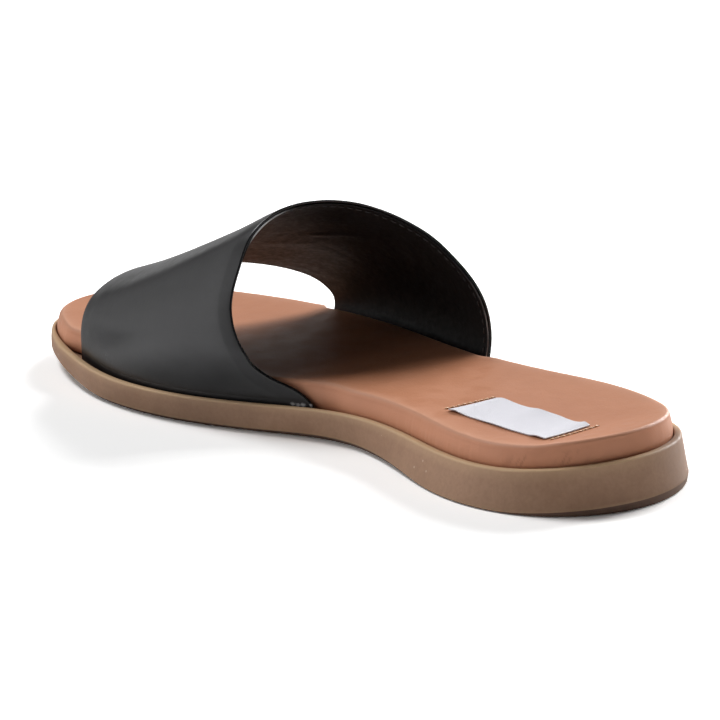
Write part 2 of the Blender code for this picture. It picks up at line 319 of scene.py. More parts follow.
# ------------------------------------------------------------------- meshes
class Shell:
    """Collects points (mm) and faces into one mesh."""

    def __init__(self):
        self.points, self.faces, self.count = [], [], 0
        self.values = {}

    def add(self, points, **values):
        points = np.asarray(points, float)
        shape = points.shape[:-1]
        index = np.arange(self.count, self.count + int(np.prod(shape))).reshape(shape)
        self.points.append(points.reshape(-1, 3))
        for name in set(self.values) | set(values):
            stored = self.values.setdefault(name, [np.zeros(self.count)])
            stored.append(np.broadcast_to(values.get(name, 0.0), shape).reshape(-1).astype(float))
        self.count += index.size
        return index

    def quads(self, index, close_columns=False, flip=False):
        if close_columns:
            index = np.concatenate([index, index[:, :1]], 1)
        a, b, c, d = index[:-1, :-1], index[:-1, 1:], index[1:, 1:], index[1:, :-1]
        order = (a, d, c, b) if flip else (a, b, c, d)
        self.faces.extend(np.stack(order, -1).reshape(-1, 4).tolist())

    def face(self, *corner):
        self.faces.append([int(i) for i in corner])

    def ladder(self, ring_index, ring_points, inside, across):
        """Closes a ring with rows from its inner to its outer side. `inside`
        turns the straight rows into their final points and values."""
        n = len(ring_index)
        half = n // 2
        i = np.arange(1, half)
        a, b = ring_points[i], ring_points[n - i]
        w = np.linspace(0, 1, across + 1)[1:-1]
        rows = a[:, None] * (1 - w)[None, :, None] + b[:, None] * w[None, :, None]
        rows, values = inside(rows, np.broadcast_to(w, rows.shape[:2]))
        mid = self.add(rows, **values)
        full = np.concatenate([ring_index[i][:, None], mid, ring_index[n - i][:, None]], 1)
        self.quads(full)
        for j in range(across):
            self.face(ring_index[0], full[0, j + 1], full[0, j])
            self.face(ring_index[half], full[-1, j], full[-1, j + 1])

    def finish(self, name, material, smooth_angle=None, tidy=True):
        mesh = bpy.data.meshes.new(name)
        points = np.concatenate(self.points) * MM
        mesh.from_pydata(points.tolist(), [], self.faces)
        for key, stored in self.values.items():
            layer = mesh.attributes.new(key, "FLOAT", "POINT")
            layer.data.foreach_set("value", np.concatenate(stored).astype(np.float32))
        if tidy:
            bm = bmesh.new()
            bm.from_mesh(mesh)
            bmesh.ops.recalc_face_normals(bm, faces=bm.faces)
            bm.to_mesh(mesh)
            bm.free()
        mesh.shade_smooth()
        if smooth_angle:
            mesh.set_sharp_from_angle(angle=math.radians(smooth_angle))
        mesh.materials.append(material)
        obj = bpy.data.objects.new(name, mesh)
        bpy.context.scene.collection.objects.link(obj)
        return obj


# ---------------------------------------------------------------- materials
class Finish:
    """A procedural material, built node by node."""

    def __init__(self, name):
        self.material = bpy.data.materials.new(name)
        self.material.use_nodes = True
        self.tree = self.material.node_tree
        self.shader = self.tree.nodes["Principled BSDF"]
        self.place = self.tree.nodes.new("ShaderNodeTexCoord").outputs["Object"]

    def node(self, kind, **settings):
        n = self.tree.nodes.new(kind)
        for key, value in settings.items():
            setattr(n, key, value)
        return n

    def put(self, socket, value):
        if isinstance(value, bpy.types.NodeSocket):
            self.tree.links.new(value, socket)
        else:
            socket.default_value = value

    def set(self, **values):
        for key, value in values.items():
            self.put(self.shader.inputs[key.replace("_", " ")], value)
        return self

    def noise(self, size, detail=2.0, rough=0.5, stretch=(1, 1, 1), warp=0.0):
        """Noise with features of about `size` mm, 0 to 1."""
        n = self.node("ShaderNodeTexNoise")
        n.inputs["Scale"].default_value = 1000.0 / size
        n.inputs["Detail"].default_value = detail
        n.inputs["Roughness"].default_value = rough
        n.inputs["Distortion"].default_value = warp
        self.put(n.inputs["Vector"], self.scaled(stretch))
        return n.outputs["Fac"]

    def cells(self, size, feature="F1", out="Distance", randomness=1.0):
        v = self.node("ShaderNodeTexVoronoi", feature=feature)
        v.inputs["Scale"].default_value = 1000.0 / size
        v.inputs["Randomness"].default_value = randomness
        self.put(v.inputs["Vector"], self.place)
        return v.outputs[out]

    def scaled(self, stretch):
        if tuple(stretch) == (1, 1, 1):
            return self.place
        m = self.node("ShaderNodeMapping")
        m.inputs["Scale"].default_value = stretch
        self.put(m.inputs["Vector"], self.place)
        return m.outputs["Vector"]

    def value(self, name):
        return self.node("ShaderNodeAttribute", attribute_name=name).outputs["Fac"]

    def span(self, source, low, high, out_low=0.0, out_high=1.0, soft=True):
        m = self.node("ShaderNodeMapRange", interpolation_type="SMOOTHSTEP" if soft else "LINEAR")
        self.put(m.inputs["Value"], source)
        for key, v in (("From Min", low), ("From Max", high), ("To Min", out_low), ("To Max", out_high)):
            m.inputs[key].default_value = v
        return m.outputs["Result"]

    def sum(self, a, b, kind="ADD"):
        m = self.node("ShaderNodeMath", operation=kind)
        self.put(m.inputs[0], a)
        self.put(m.inputs[1], b)
        return m.outputs[0]

    def mix(self, share, a, b):
        m = self.node("ShaderNodeMix", data_type="RGBA")
        self.put(m.inputs[0], share)
        self.put(m.inputs[6], (*a, 1.0) if isinstance(a, tuple) else a)
        self.put(m.inputs[7], (*b, 1.0) if isinstance(b, tuple) else b)
        return m.outputs[2]

    def bump(self, height, depth, below=None):
        """Relief of `depth` mm for a height of 0 to 1."""
        b = self.node("ShaderNodeBump")
        b.inputs["Strength"].default_value = 1.0
        b.inputs["Distance"].default_value = depth * MM
        self.put(b.inputs["Height"], height)
        if below is not None:
            self.put(b.inputs["Normal"], below)
        return b.outputs["Normal"]


def leather_finish():
    f = Finish("black_leather")
    broad = f.noise(18, 3, 0.55)
    fine = f.noise(2.2, 3, 0.6)
    base = f.mix(f.span(broad, 0.3, 0.7), (0.0060, 0.0060, 0.0066), (0.0095, 0.0094, 0.0100))
    f.set(Base_Color=f.mix(f.sum(f.value("glue"), 0.7, "MULTIPLY"), base, (0.60, 0.60, 0.61)))
    rough = f.sum(f.span(broad, 0.3, 0.75, 0.29, 0.35), f.span(fine, 0.3, 0.7, -0.02, 0.03))
    rough = f.sum(rough, f.span(f.value("rim"), -0.8, -0.1, 0.32, 0.0))
    f.set(Roughness=f.sum(rough, f.span(f.value("rim"), 0.1, 0.8, 0.0, -0.12)))
    grain = f.bump(f.cells(0.75, "SMOOTH_F1"), 0.010)
    grain = f.bump(f.noise(0.35, 2), 0.005, grain)
    f.set(Normal=f.bump(f.noise(5.5, 2), 0.020, grain))
    gloss = f.span(f.value("strip"), 0.0, 1.0, 0.50, 0.42, soft=False)
    f.set(Specular_IOR_Level=f.sum(gloss, f.span(f.value("rim"), -0.8, -0.1, -0.30, 0.0)))
    f.set(Specular_Tint=(0.985, 0.98, 1.0, 1.0))
    return f.material


def lining_finish():
    f = Finish("lining_leather")
    broad = f.noise(14, 4, 0.6, warp=0.3)
    fine = f.noise(1.6, 4, 0.65)
    base = f.mix(f.span(broad, 0.3, 0.7), (0.0056, 0.0048, 0.0050), (0.0105, 0.0090, 0.0091))
    rub = f.sum(f.span(fine, 0.60, 0.78), f.span(broad, 0.48, 0.72), "MULTIPLY")
    base = f.mix(rub, base, (0.026, 0.021, 0.018))
    # painted highlight: the lining's rear rim is coloured near white where its glossy edge would catch the light
    painted_highlight = f.sum(f.span(f.value("rubbed"), 0.40, 1.0), f.span(f.noise(7, 2), 0.3, 0.6, 0.5, 1.0), "MULTIPLY")
    f.set(Base_Color=f.mix(painted_highlight, base, (0.86, 0.86, 0.87)))
    f.set(Roughness=f.sum(f.span(fine, 0.3, 0.7, 0.48, 0.62), f.span(f.value("rim"), 0.3, 0.9, 0.0, -0.22)))
    grain = f.bump(f.cells(0.9, "SMOOTH_F1"), 0.030)
    f.set(Normal=f.bump(f.noise(3.0, 3), 0.10, grain))
    f.set(Specular_IOR_Level=f.span(f.value("rubbed"), 0.4, 1.0, 0.22, 0.6))
    return f.material


def pad_finish():
    f = Finish("tan_leather")
    broad = f.noise(30, 3, 0.5)
    patch = f.noise(6, 3, 0.6)
    tint = f.sum(f.span(broad, 0.3, 0.7, 0.0, 0.65), f.span(patch, 0.3, 0.7, 0.0, 0.35))
    base = f.mix(tint, (0.410, 0.170, 0.088), (0.450, 0.196, 0.106))
    pores = f.span(f.cells(0.55), 0.0, 0.28, 1.0, 0.0)
    base = f.mix(f.sum(pores, 0.22, "MULTIPLY"), base, (0.27, 0.114, 0.062))
    # painted light: the wall is coloured lighter than the top, except at the heel back
    base = f.mix(f.sum(f.value("side"), 0.9, "MULTIPLY"), base, (0.575, 0.262, 0.155))
    # painted highlight along the rounded top edge
    base = f.mix(f.sum(f.value("edge"), 0.45, "MULTIPLY"), base, (0.60, 0.345, 0.24))
    # painted shade in the dents of the heel folds
    base = f.mix(f.sum(f.value("fold"), 0.40, "MULTIPLY"), base, (0.19, 0.070, 0.036))
    f.set(Base_Color=base)
    f.set(Roughness=f.span(patch, 0.3, 0.7, 0.42, 0.54))
    grain = f.bump(f.cells(0.55, "SMOOTH_F1"), 0.030)
    grain = f.bump(f.noise(0.30, 2), 0.015, grain)
    f.set(Normal=f.bump(f.noise(4.0, 2), 0.05, grain))
    f.set(Specular_IOR_Level=0.18)
    return f.material


def sole_finish():
    f = Finish("gum_rubber")
    broad = f.noise(26, 3, 0.5)
    patch = f.noise(3.5, 4, 0.6)
    tint = f.sum(f.span(broad, 0.3, 0.7, 0.0, 0.6), f.span(patch, 0.3, 0.7, 0.0, 0.4))
    base = f.mix(tint, (0.310, 0.176, 0.109), (0.402, 0.244, 0.158))
    base = f.mix(f.span(f.noise(1.1, 3, 0.6), 0.35, 0.70, 0.0, 0.30), base, (0.275, 0.155, 0.096))
    # painted highlight: lighter along the lip's top and the wall's lower edge
    base = f.mix(f.sum(f.value("edge"), 0.85, "MULTIPLY"), base, (0.64, 0.44, 0.255))
    # painted shade: the underside bevel is coloured dark
    base = f.mix(f.sum(f.value("under"), 0.8, "MULTIPLY"), base, (0.085, 0.050, 0.038))
    # painted shade: darker at the back of the heel and on the inner wall by the ball
    base = f.mix(f.sum(f.value("grime"), 0.6, "MULTIPLY"), base, (0.150, 0.088, 0.056))
    speck = f.span(f.cells(7.0), 0.045, 0.060, 1.0, 0.0)
    base = f.mix(f.sum(speck, 0.6, "MULTIPLY"), base, (0.60, 0.46, 0.34))
    f.set(Base_Color=base)
    f.set(Roughness=f.span(patch, 0.3, 0.7, 0.52, 0.66))
    grain = f.bump(f.noise(0.45, 3), 0.020)
    f.set(Normal=f.bump(f.noise(3.0, 2), 0.04, grain))
    f.set(Specular_IOR_Level=0.25)
    return f.material


def label_finish():
    f = Finish("woven_label")
    thread = f.node("ShaderNodeTexWave", wave_type="BANDS", bands_direction="X")
    thread.inputs["Scale"].default_value = 2 * math.pi / (20 * 0.45 * MM)
    f.put(thread.inputs["Vector"], f.node("ShaderNodeUVMap", uv_map="cloth").outputs["UV"])
    cross = f.node("ShaderNodeTexWave", wave_type="BANDS", bands_direction="Y")
    cross.inputs["Scale"].default_value = 2 * math.pi / (20 * 0.30 * MM)
    f.put(cross.inputs["Vector"], f.node("ShaderNodeUVMap", uv_map="cloth").outputs["UV"])
    weave = f.sum(thread.outputs["Fac"], cross.outputs["Fac"], "MULTIPLY")
    slub = f.noise(3.0, 3, 0.6)
    base = f.mix(f.span(weave, 0.0, 0.8), (0.54, 0.535, 0.585), (0.66, 0.653, 0.70))
    base = f.mix(f.span(slub, 0.35, 0.7, 0.0, 0.35), base, (0.60, 0.593, 0.645))
    f.set(Base_Color=base)
    f.set(Roughness=f.span(slub, 0.3, 0.7, 0.45, 0.6))
    f.set(Normal=f.bump(weave, 0.05))
    f.set(Sheen_Weight=0.15)
    return f.material


def thread_finish(name, dark, light, rough):
    f = Finish(name)
    twist = f.noise(0.5, 2, 0.5)
    base = f.mix(f.span(twist, 0.35, 0.65), dark, light)
    # painted shade: the short pieces marked as holes are coloured dark for the shade in the needle holes
    f.set(Base_Color=f.mix(f.value("hole"), base, tuple(0.25 * v for v in dark)))
    f.set(Roughness=f.span(f.noise(1.0), 0.3, 0.7, rough - 0.05, rough + 0.05))
    f.set(Normal=f.bump(twist, 0.05))
    return f.material


# ------------------------------------------------------------------ the sole
def tread(x, u, inset):
    """Depth of the fine ribs at a spot of the underside: 0 on a rib, 1 in a
    groove; the waist is left smooth, and they run out `inset` mm from the rim."""
    phase = (u + 1.1 * np.sin(2 * math.pi * x / 13.0)) / RIB_PITCH
    away = np.abs((phase % 1.0) * 2 - 1)
    groove = ease(away, 0.48, 0.82)
    zone = np.maximum(ease(u, 3, 6) * (1 - ease(u, 78, 82)),
                      ease(u, 122, 126) * (1 - ease(u, 243, 247)))
    return groove * zone * (0.12 + 0.88 * ease(inset, 1.9, 4.5))


def heel_back(line):
    """1 at the back of the heel on the outer side, 0 elsewhere."""
    return (1 - ease(line.u, 3, 22)) * ease(-line.nx, -0.25, 0.45)


def make_sole(material):
    line = Outline(520)
    ground = np.maximum(read(SIDE, "ground", line.u), 0)
    lip = read(SIDE, "lip", line.u)
    foot = (read(SIDE, "medial_foot", line.u) * line.inner_share
            + read(SIDE, "lateral_foot", line.u) * (1 - line.inner_share))
    shell = Shell()
    around = np.stack([line.x, HEEL_AT_Y - line.u, lip], 1)
    uneven = 0.07 * lumps(around, 16, 3) + 0.03 * lumps(around, 4, 5)
    groove = tread(line.x + line.nx * foot, line.u, 0.0)
    fore = ease(line.u, 45, 85)
    bevel_in, bevel_up = 0.25 + 1.25 * fore, 0.35 + 0.90 * fore
    edge_up = ground + bevel_up
    ground = ground * ease(line.u, 30, 190)  # the heel stands on its bevel
    bevel_up = edge_up - ground
    foot = foot - 0.45 * (1 - ease(line.u, 15, 60))
    rings, edge, dark = [], [], []
    back = heel_back(line)
    # painted shade on the inner wall by the ball; with the heel back it is coloured darker
    ball = 0.5 * ease(line.u, 122, 138) * (1 - ease(line.u, 148, 172)) * ease(line.nx, 0.2, 0.7)

    # each ring carries a painted highlight share, kept low at the heel back where the lamp lights it
    def ring(offset, z, painted_highlight=0.0, under=0.0):
        rings.append(line.ring(offset, z))
        edge.append(painted_highlight * (1 - 0.75 * back))
        dark.append(np.broadcast_to(under, line.u.shape))

    # the rings below the edge carry painted shade on the bevel
    ring(foot - bevel_in - 0.35, ground + RIB_DEPTH * groove, 0.0, 0.5)
    ring(foot - bevel_in, ground + 0.12 + RIB_DEPTH * groove, 0.0, 1.0)
    for share in (0.35, 0.7, 0.90):
        ring(foot - bevel_in * (1 - share), ground + 0.12 + (bevel_up - 0.12) * share
             + RIB_DEPTH * groove * (1 - share) ** 0.7, 0.0, 1.0)
    ring(foot - 0.05, edge_up - 0.02, 0.0, 1.0)
    ring(foot + 0.02, edge_up + 0.12, 0.25)
    ring(foot + 0.05, edge_up + 0.32, 0.15)
    low, high = edge_up + 0.32, lip - LIP_RADIUS
    lip_out = LIP_OUT - 0.9 * ease(line.u, 222, 242)
    for share in np.linspace(0.06, 1.0, 15):
        belly = 0.16 * math.sin(math.pi * share) * fore
        ring(foot + (lip_out - foot) * share + belly + uneven * math.sin(math.pi * min(share, 0.5)),
             low + (high - low) * share, 0.30 * max(0.0, share - 0.72) / 0.28)
    for turn in (15, 30, 45, 60, 75, 90):
        a = math.radians(turn)
        ring(lip_out - LIP_RADIUS * (1 - math.cos(a)) + uneven,
             high + LIP_RADIUS * math.sin(a) + 0.5 * uneven, 0.3 + 0.7 * math.sin(a))
    ring(lip_out - LIP_RADIUS - 0.35 + 0.5 * uneven, lip + 0.5 * uneven, 1.0)
    ring(LIP_IN + 0.45, lip - 0.02 + 0.5 * uneven, 0.8)
    ring(LIP_IN + 0.16, lip - 0.13, 0.3)
    ring(LIP_IN, lip - 0.40)
    ring(LIP_IN, lip - 1.2)
    ring(LIP_IN, lip - RECESS_DEPTH)
    index = shell.add(np.stack(rings), edge=np.stack(edge), under=np.stack(dark),
                      grime=np.broadcast_to(np.maximum(back, ball), (len(rings), len(back))))
    shell.quads(index, close_columns=True)

    def underside(rows, w):
        u = HEEL_AT_Y - rows[..., 1]
        width = np.linalg.norm(rows[:, -1] - rows[:, 0], axis=-1) / (w[0, -1] - w[0, 0])
        inset = 1.85 + np.minimum(w, 1 - w) * width[:, None]
        rows[..., 2] = (np.maximum(read(SIDE, "ground", u), 0) * ease(u, 30, 190)
                        + RIB_DEPTH * tread(rows[..., 0], u, inset))
        return rows, {}

    shell.ladder(index[0], rings[0], underside, 54)
    shell.ladder(index[-1], rings[-1], lambda rows, w: (rows, {}), 4)
    return shell.finish("sole_unit", material, 40)


# --------------------------------------------------------------- the footbed
def make_pad(material):
    line = Outline(620)
    seat = read(SIDE, "lip", line.u) - RECESS_DEPTH + GAP
    top = read(SIDE, "top", line.u)
    top = (top + 0.5 * np.exp(-(line.u / 7.0) ** 2)
           - 0.55 * line.inner_share * ease(line.u, 8, 18) * (1 - ease(line.u, 35, 75)))
    radius = FOOTBED_EDGE_RADIUS * (1 - 0.30 * (1 - ease(line.u, 6, 24)))
    back = heel_back(line)
    wall = -band_tuck(line.u, line.inner_share)
    wall *= 1 + BAND_DRAWN_IN / BAND_TUCK * ease(line.inner_share, 0.45, 0.55)
    shell = Shell()
    around = np.stack([line.x, HEEL_AT_Y - line.u, top], 1)
    uneven = 0.13 * lumps(around, 15, 11) + 0.06 * lumps(around, 4.5, 12)
    # fine upright creases where the cover is pulled round the heel
    crease = lumps(np.stack([line.run, line.run * 0, line.run * 0], 1), 1.25, 21, 2)
    where = ease(line.u, 6, 18) * (1 - ease(line.u, 58, 84))
    drawn = ease(line.u, 4, 9) * (1 - ease(line.u, 17, 30)) * ease(line.inner_share, 0.5, 0.8)
    crease = crease * (0.03 + 0.10 * where)
    rings, edge, side, folds = [], [], [], []

    def ring(offset, z, painted_highlight=0.0, upright=0.0, folded=0.0):
        # short slanting folds that fade in and out round the heel; their dents are also painted darker as shade
        slant = np.stack([line.run + 0.55 * (z - seat), 0.22 * (z - seat), line.run * 0], 1)
        dented = (ease(lumps(slant, 0.75, 25, 1), 0.05, 0.60) * drawn * folded
                  * ease(lumps(slant, 4.5, 27, 1), -0.8, 0.0))
        rings.append(line.ring(offset - 0.14 * dented, z))
        # edge: painted highlight on the rounded top edge, kept low at the heel back
        edge.append(painted_highlight * (1 - 0.7 * back))
        # side: painted light on the wall, kept low at the heel back
        side.append(upright * (1 - 0.95 * back))
        folds.append(dented)

    ring(wall - 1.0, seat)
    ring(wall - 0.35, seat + 0.25)
    ring(wall - 0.05, seat + 0.8)
    low, high = seat + 0.8, top - radius
    for share in np.linspace(0.1, 0.9, 9):
        puff = 0.30 * math.sin(math.pi * share)
        fold = crease * math.sin(math.pi * min(1.0, 0.15 + 0.75 * share))
        ring(wall - FOOTBED_LEAN * share + puff + fold + 0.5 * uneven, low + (high - low) * share,
             0.0, min(1.0, 0.3 + share), math.sin(math.pi * min(1.0, 0.1 + share)) ** 0.8)
    for turn in np.linspace(0, 90, 13):
        a = math.radians(turn)
        fold = crease * 0.45 * max(0.0, math.cos(a)) ** 2
        ring(wall - FOOTBED_LEAN - radius * (1 - math.cos(a)) + fold + uneven * math.cos(a),
             top - radius * (1 - math.sin(a)) + 0.7 * uneven * math.sin(a),
             math.sin(a) ** 2 * 0.9, math.cos(a))
    index = shell.add(np.stack(rings), edge=np.stack(edge), side=np.stack(side), fold=np.stack(folds))
    shell.quads(index, close_columns=True)

    def upper(rows, w):
        share = np.clip((HEEL_AT_Y - rows[..., 1]) / FOOTBED_LENGTH, 0, 1)
        depth = FOOTBED_DISH_HEEL + (FOOTBED_DISH_TOE - FOOTBED_DISH_HEEL) * share
        ends = np.minimum(1.0, np.minimum(share / 0.08, (1 - share) / 0.08))
        rows[..., 2] -= depth * ends * 4 * w * (1 - w)
        soft = np.minimum(1, np.minimum(w, 1 - w) / 0.06)
        rows[..., 2] += soft * (0.10 * lumps(rows, 22, 31) + 0.035 * lumps(rows, 6, 33))
        # painted highlight on the top next to the rounded edge
        rim = np.minimum(w, 1 - w) * 70.0
        return rows, {"edge": 0.85 * np.exp(-(rim / 2.2))}

    shell.ladder(index[0], rings[0], lambda rows, w: (rows, {}), 4)
    shell.ladder(index[-1], rings[-1], upper, 60)
    return shell.finish("footbed_pad", material)


# ------------------------------------------------------------------ the band
BAND_OVER = 300
BAND_ALONG = 96
EDGE_COLUMNS = 9
EDGE_REACH = 1.2


def band_edges(steps=900):
    over = band_rows(steps)
    front = smooth(over, column(CUT, "over"), column(CUT, "front"))
    rear = smooth(over, column(CUT, "over"), column(CUT, "rear"))
    return band_point(over, front), band_point(over, rear)


def distance_to(points, line):
    """Least distance of each point to a dense line."""
    tree = KDTree(len(line))
    for i, p in enumerate(line):
        tree.insert(p, i)
    tree.balance()
    flat = points.reshape(-1, 3)
    out = np.empty(len(flat))
    a = line[:-1]
    step = np.diff(line, axis=0)
    size = np.maximum((step**2).sum(1), 1e-12)
    for k, p in enumerate(flat):
        i = tree.find(p)[1]
        best = 1e9
        for j in (i - 1, i):
            if 0 <= j < len(step):
                t = min(1.0, max(0.0, float((p - a[j]) @ step[j]) / size[j]))
                q = p - a[j] - t * step[j]
                best = min(best, float(q @ q))
        out[k] = math.sqrt(best)
    return out.reshape(points.shape[:-1])


class BandGrid:
    """The band's outer face as a fine grid, with its normals and the distance
    of every point to the front and rear edges."""

    def __init__(self, inset=0.0):
        self.over = band_rows(BAND_OVER)
        front = smooth(self.over, column(CUT, "over"), column(CUT, "front")) - inset
        rear = smooth(self.over, column(CUT, "over"), column(CUT, "rear")) + inset
        width = front - rear
        near = EDGE_REACH * (1 - np.cos(np.linspace(0, math.pi / 2, EDGE_COLUMNS)))
        t = np.linspace(0, 1, BAND_ALONG + 1)[1:-1]
        # crowd the inner columns towards the edges as well
        t = t - 0.075 * np.sin(2 * math.pi * t)
        middle = near[-1] + t[None, :] * (width[:, None] - 2 * near[-1])
        offset = np.concatenate([np.broadcast_to(near, (len(width), len(near))), middle,
                                 (width[:, None] - near[None, ::-1])], 1)
        self.u = front[:, None] - offset
        self.over2 = np.broadcast_to(self.over[:, None], self.u.shape)
        self.points = band_point(self.over2, self.u)
        low = self.points[..., 2] - (read(SIDE, "lip", self.u) - RECESS_DEPTH + GAP)
        drawn = (1 - ease(low, 4.0, 19.0)) * (self.over2 < 0.5)
        self.points[..., 0] -= BAND_DRAWN_IN * drawn
        self.normal = self.normals(self.points)
        edge_front, edge_rear = self.points[:, 0], self.points[:, -1]
        self.from_front = distance_to(self.points, edge_front)
        self.from_rear = distance_to(self.points, edge_rear)
        self.rise = self.points[..., 2] - (read(SIDE, "lip", self.u) - RECESS_DEPTH + GAP)

    @staticmethod
    def normals(points):
        a = np.gradient(points, axis=0)
        b = np.gradient(points, axis=1)
        n = np.cross(a, b)
        n /= np.maximum(np.linalg.norm(n, axis=-1), 1e-9)[..., None]
        if n[..., 2].sum() < 0:
            n = -n
        return n


# Soft creases set on the band's leather: share over the foot and share
# from rear to front at each end, how wide (mm) and how high (mm).
Crease = namedtuple("Crease", "over0 along0 over1 along1 wide high")
CREASES = [
    Crease(0.280, 0.02, 0.198, 0.97, 6.6, 0.40),
    Crease(0.340, 0.02, 0.265, 0.97, 6.0, -0.14),
    Crease(0.225, 0.02, 0.140, 0.97, 7.0, -0.10),
    Crease(0.12, 0.86, 0.30, 0.93, 4.0, 0.10),
    Crease(0.10, 0.70, 0.26, 0.74, 5.0, -0.07),
    Crease(0.14, 0.16, 0.30, 0.12, 5.0, -0.08),
    Crease(0.55, 0.10, 0.80, 0.20, 6.0, 0.12),
    Crease(0.62, 0.45, 0.86, 0.42, 7.0, -0.12),
    Crease(0.70, 0.70, 0.90, 0.74, 6.0, 0.10),
]


def crease_relief(grid, table):
    relief = np.zeros(grid.u.shape)
    front = grid.u[:, :1]
    rear = grid.u[:, -1:]
    for row in table:
        t = np.linspace(0, 1, 60)
        over = row.over0 + (row.over1 - row.over0) * t
        along = row.along0 + (row.along1 - row.along0) * t
        f = smooth(over, column(CUT, "over"), column(CUT, "front"))
        r = smooth(over, column(CUT, "over"), column(CUT, "rear"))
        path = band_point(over, r + (f - r) * along)
        flat = grid.points.reshape(-1, 3)
        best = np.full(len(flat), 1e9)
        share = np.zeros(len(flat))
        for k in range(len(path)):
            d = ((flat - path[k]) ** 2).sum(1)
            nearer = d < best
            best = np.where(nearer, d, best)
            share = np.where(nearer, t[k], share)
        fade = np.clip(np.minimum(share, 1 - share) / 0.25, 0, 1)
        shape = np.exp(-best / (0.5 * row.wide) ** 2 / 2) * (0.25 + 0.75 * fade)
        relief += row.high * shape.reshape(relief.shape)
    return relief


def hem(grid):
    """The turned edges: a flat strip that slopes down to the edge from a soft
    ridge where the doubled leather ends."""
    free = ease(grid.rise, 3.0, 12.0)
    inner = 1 - ease(grid.over2, 0.20, 0.42)
    out = np.zeros(grid.u.shape)
    for d, high, wide in ((grid.from_rear, HEM_HIGH_TOP + (HEM_HIGH - HEM_HIGH_TOP) * inner, HEM_WIDTH),
                          (grid.from_front, HEM_HIGH_FRONT, HEM_WIDTH * 0.8)):
        slope = np.minimum(d / wide, 1.0)
        soft = np.exp(-((d - wide) / (0.14 * wide)) ** 2) * 0.06
        out += high * (slope - soft) * (1 - ease(d, wide, wide + 11.0)) * free
        out -= 0.12 * np.exp(-d / 0.5) * free
    return out


GLUE = [  # pale flecks of glue at the band's tail: place and size (mm)
    (27.85, 2.65, 9.49, 0.6), (27.3, 4.3, 9.38, 0.6), (26.75, 5.95, 9.6, 0.7), (25.8, 8.5, 9.9, 0.5),
]


def make_shell(name, grid, outer, thickness, material):
    """A closed leather ply whose outer face is `outer` mm off the grid; its
    front and rear edges are rounded."""
    r = thickness / 2
    d = np.minimum(grid.from_front, grid.from_rear)
    t = np.clip(1 - d / r, 0, 1)
    half = r * np.sqrt(np.clip(1 - t * t, 0, 1))
    middle = outer - r
    normal = BandGrid.normals(grid.points + grid.normal * middle[..., None])
    core = grid.points + grid.normal * middle[..., None]
    face = core + normal * half[..., None]
    back = core - normal * half[..., None]
    shell = Shell()
    rear = grid.from_rear < grid.from_front
    rim = (1 - ease(d, 0.0, 0.9)) * np.where(rear, 1.0, -1.0)  # the front edge is left matt
    # share of the rear rim that carries the painted highlight (and more gloss on the lining), strongest over the
    # inner top
    rubbed = (1 - ease(d, 0.05, 0.50)) * rear * np.interp(
        grid.over2, [0.20, 0.24, 0.28, 0.31, 0.36, 0.40, 0.44, 0.70, 0.88, 0.96],
        [0.0, 0.35, 0.80, 1.0, 1.0, 0.55, 0.40, 0.40, 0.45, 0.60])
    strip = (1 - ease(grid.from_rear, HEM_WIDTH - 0.5, HEM_WIDTH + 0.3)) * (grid.over2 < 0.6)
    glue = np.zeros(d.shape)
    for spot in GLUE:
        away = np.linalg.norm((face - np.array(spot[:3])) * (1.0, 0.6, 1.0), axis=-1)
        glue = np.maximum(glue, 1 - ease(away, 0.5 * spot[3], spot[3]))
    a = shell.add(face, rim=rim, rubbed=rubbed, strip=strip, glue=glue)
    b_inner = shell.add(back[:, 1:-1], rim=rim[:, 1:-1], rubbed=rubbed[:, 1:-1])
    b = np.concatenate([a[:, :1], b_inner, a[:, -1:]], 1)
    shell.quads(a)
    shell.quads(b, flip=True)
    for row in (0, -1):
        for j in range(a.shape[1] - 1):
            corner = [a[row, j], a[row, j + 1], b[row, j + 1], b[row, j]]
            corner = list(dict.fromkeys(int(c) for c in corner))
            if len(corner) > 2:
                shell.face(*corner)
    return shell.finish(name, material), face, back, normal


# Small folds of the lining: share over the foot, share from rear to front.
LINING_CREASES = [
    Crease(0.60, 0.42, 0.66, 0.36, 1.6, 0.28),
    Crease(0.62, 0.38, 0.69, 0.30, 1.4, 0.24),
    Crease(0.55, 0.62, 0.66, 0.55, 3.4, 0.16),
    Crease(0.66, 0.52, 0.78, 0.60, 2.6, -0.16),
    Crease(0.40, 0.55, 0.56, 0.70, 4.5, 0.10),
    Crease(0.80, 0.20, 0.90, 0.42, 3.0, 0.20),
]


def front_dip(grid):
    """The front edge draws in a little over the outer half of the foot."""
    return (0.9 * (1 - ease(grid.from_front, 0.0, 22.0)) * ease(grid.over2, 0.36, 0.48)
            * (1 - ease(grid.over2, 0.86, 0.96)))


def make_band(leather, lining):
    grid = BandGrid()
    relief = hem(grid) + crease_relief(grid, CREASES) * ease(grid.rise, 2, 10)
    relief -= front_dip(grid)
    free = ease(grid.rise, 2.0, 9.0)
    relief += free * (0.10 * lumps(grid.points, 17, 41) + 0.035 * lumps(grid.points, 5, 43))
    outer, face, _, normal = make_shell("band_leather", grid, relief, LEATHER, leather)
    # the lining follows the same line, a little inside
    inner_grid = BandGrid(LINING_INSET)
    calm = hem(inner_grid) * 0.9 + crease_relief(inner_grid, LINING_CREASES) * -1.0
    calm -= front_dip(inner_grid)
    free = ease(inner_grid.rise, 2.0, 9.0)
    edge = np.minimum(inner_grid.from_front, inner_grid.from_rear)
    calm += free * ease(edge, 0.5, 5.0) * (0.10 * lumps(inner_grid.points, 8, 51)
                                           + 0.06 * lumps(inner_grid.points, 2.8, 53))
    down = calm - LEATHER - PLY_GAP - 0.06
    inner, _, back, back_normal = make_shell("band_lining", inner_grid, down, LINING, lining)
    return outer, inner, inner_grid, back, back_normal


